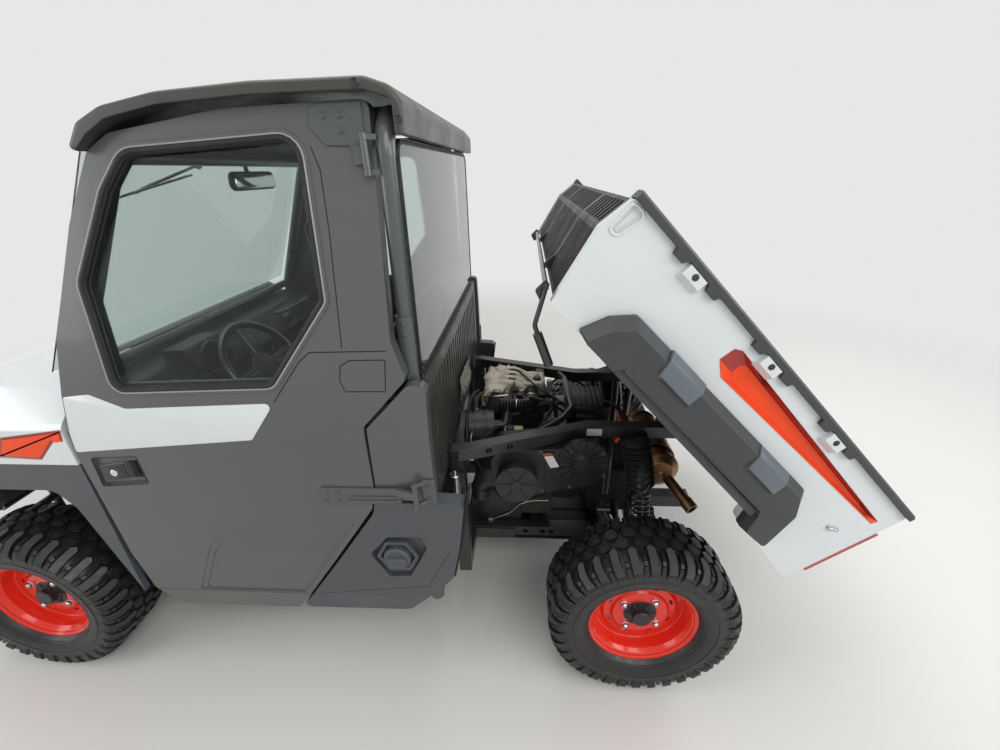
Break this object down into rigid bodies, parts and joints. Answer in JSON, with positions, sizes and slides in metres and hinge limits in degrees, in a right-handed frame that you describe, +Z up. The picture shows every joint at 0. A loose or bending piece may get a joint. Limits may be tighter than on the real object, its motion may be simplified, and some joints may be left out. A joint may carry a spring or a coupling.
{
  "type": "side by side utility vehicle with an enclosed cab and a tipping bed",
  "caption": "Side by side utility vehicle with a glazed cab, hinged doors, steered and turning wheels on double wishbones, and a cylinder lifted cargo bed with a drop tailgate.",
  "frame": {"origin": "on the floor under the middle of the bounding box", "axes": "+X forward, +Y to the vehicle's left, +Z up"},
  "size_m": [3.5043, 1.574, 2.0179],
  "materials": {
    "white_body": "gloss white",
    "door_paint": "satin dark grey with a white band",
    "bed_paint": "satin black",
    "bed_white": "gloss white with an orange insert",
    "black_plastic": "textured black",
    "grey_plastic": "textured dark grey",
    "black_tube": "satin black powder coat",
    "frame_paint": "satin black powder coat",
    "clear_glass": "clear",
    "tyre_rubber": "matte",
    "rim_paint": "gloss orange red",
    "steel": "satin",
    "chrome_rod": "polished",
    "cast": "rough",
    "engine_alloy": "as cast",
    "muffler_steel": "heat tinted",
    "seat_vinyl": "matte black vinyl",
    "flap_rubber": "matte",
    "lamp_lens": "clear lens",
    "tail_lens": "red lens",
    "pale_plastic": "translucent white",
    "rail_plastic": "textured black"
  },
  "bodies": {
    "chassis": {"main_frame": "frame_paint", "rear_frame": "frame_paint", "front_frame": "frame_paint", "roll_cage": "black_tube", "cab_tub": "black_plastic", "hood": "white_body", "front_lower_body": "grey_plastic", "front_bumper": "black_tube", "headlights": "lamp_lens", "cab_glass": "clear_glass", "roof": "black_plastic", "rear_cab_panel": "black_plastic", "quarter_panels": "grey_plastic", "rocker_panels": "grey_plastic", "hinge_brackets": "black_tube", "mud_flaps": "flap_rubber", "fuel_cap": "grey_plastic", "seat_cushion": "seat_vinyl", "seat_back": "seat_vinyl", "dashboard": "black_plastic", "engine": "engine_alloy", "intake": "engine_alloy", "air_box": "black_plastic", "reservoir": "pale_plastic", "cvt_cover": "black_plastic", "muffler": "muffler_steel", "transaxle": "cast", "suspension_arms": "black_tube", "shocks": "steel", "rear_knuckles": "cast", "half_shafts": "steel"},
    "door_left": {"door_left": "door_paint", "door_left_glass": "clear_glass", "door_left_hinges": "black_tube"},
    "door_right": {"door_right": "door_paint", "door_right_glass": "clear_glass", "door_right_hinges": "black_tube"},
    "steering_wheel": {"steering_wheel": "black_plastic"},
    "front_knuckle_left": {"knuckle_left": "cast"},
    "front_knuckle_right": {"knuckle_right": "cast"},
    "bed": {"bed_box": "bed_paint", "bed_panels": "bed_white", "bed_flares": "grey_plastic", "bed_rails": "rail_plastic", "bed_latch": "steel", "tail_lamps": "tail_lens"},
    "tailgate": {"tailgate": "bed_paint"},
    "lift_barrel": {"lift_barrel": "black_tube"},
    "lift_rod": {"lift_rod": "chrome_rod"},
    "wheel_front_left": {"tyre_front_left": "tyre_rubber", "rim_front_left": "rim_paint"},
    "wheel_front_right": {"tyre_front_right": "tyre_rubber", "rim_front_right": "rim_paint"},
    "wheel_rear_left": {"tyre_rear_left": "tyre_rubber", "rim_rear_left": "rim_paint"},
    "wheel_rear_right": {"tyre_rear_right": "tyre_rubber", "rim_rear_right": "rim_paint"}
  },
  "joints": [
    {"name": "door_left_hinge", "type": "hinge", "parent": "chassis", "child": "door_left", "pos_m": [-0.243, 0.765, 0.94], "axis": [0.0465, -0.105, 0.9934], "range_deg": [0, 70]},
    {"name": "door_right_hinge", "type": "hinge", "parent": "chassis", "child": "door_right", "pos_m": [-0.243, -0.765, 0.94], "axis": [-0.0465, -0.105, -0.9934], "range_deg": [0, 70]},
    {"name": "steer_left", "type": "hinge", "parent": "chassis", "child": "front_knuckle_left", "pos_m": [1.3, 0.545, 0.338], "axis": [0, 0, 1], "range_deg": [-25, 25]},
    {"name": "steer_right", "type": "hinge", "parent": "chassis", "child": "front_knuckle_right", "pos_m": [1.3, -0.545, 0.338], "axis": [0, 0, 1], "range_deg": [-25, 25]},
    {"name": "steering_wheel_turn", "type": "hinge", "parent": "chassis", "child": "steering_wheel", "pos_m": [0.4, 0.33, 1.165], "axis": [-0.848, 0, 0.5299], "range_deg": [-351, 351]},
    {"name": "wheel_front_left_spin", "type": "hinge", "parent": "front_knuckle_left", "child": "wheel_front_left", "pos_m": [1.3, 0.66, 0.338], "axis": [0, 1, 0], "continuous": true},
    {"name": "wheel_front_right_spin", "type": "hinge", "parent": "front_knuckle_right", "child": "wheel_front_right", "pos_m": [1.3, -0.66, 0.338], "axis": [0, 1, 0], "continuous": true},
    {"name": "wheel_rear_left_spin", "type": "hinge", "parent": "chassis", "child": "wheel_rear_left", "pos_m": [-1, 0.66, 0.338], "axis": [0, 1, 0], "continuous": true},
    {"name": "wheel_rear_right_spin", "type": "hinge", "parent": "chassis", "child": "wheel_rear_right", "pos_m": [-1, -0.66, 0.338], "axis": [0, 1, 0], "continuous": true},
    {"name": "bed_tilt", "type": "hinge", "parent": "chassis", "child": "bed", "pos_m": [-1.244, 0, 0.858], "axis": [0, -1, 0], "range_deg": [-45.5, 0]},
    {"name": "tailgate_hinge", "type": "hinge", "parent": "bed", "child": "tailgate", "pos_m": [-1.52277, 0, 0.63282], "axis": [0, -1, 0], "range_deg": [0, 90]},
    {"name": "lift_barrel_pivot", "type": "hinge", "parent": "chassis", "child": "lift_barrel", "pos_m": [-1.12, -0.47, 0.56], "axis": [0, -1, 0], "range_deg": [-20, 0]},
    {"name": "lift_rod_slide", "type": "slide", "parent": "lift_barrel", "child": "lift_rod", "axis": [0.1565, 0, 0.9877], "range_m": [-0.166, 0]}
  ],
  "couplings": [
    {"joint": "steer_right", "follows": "steer_left", "ratio": 1},
    {"joint": "steering_wheel_turn", "follows": "steer_left", "ratio": 14},
    {"joint": "lift_barrel_pivot", "follows": "bed_tilt", "ratio": 0.43209},
    {"joint": "lift_rod_slide", "follows": "bed_tilt", "m_per_rad": 0.20639}
  ]
}
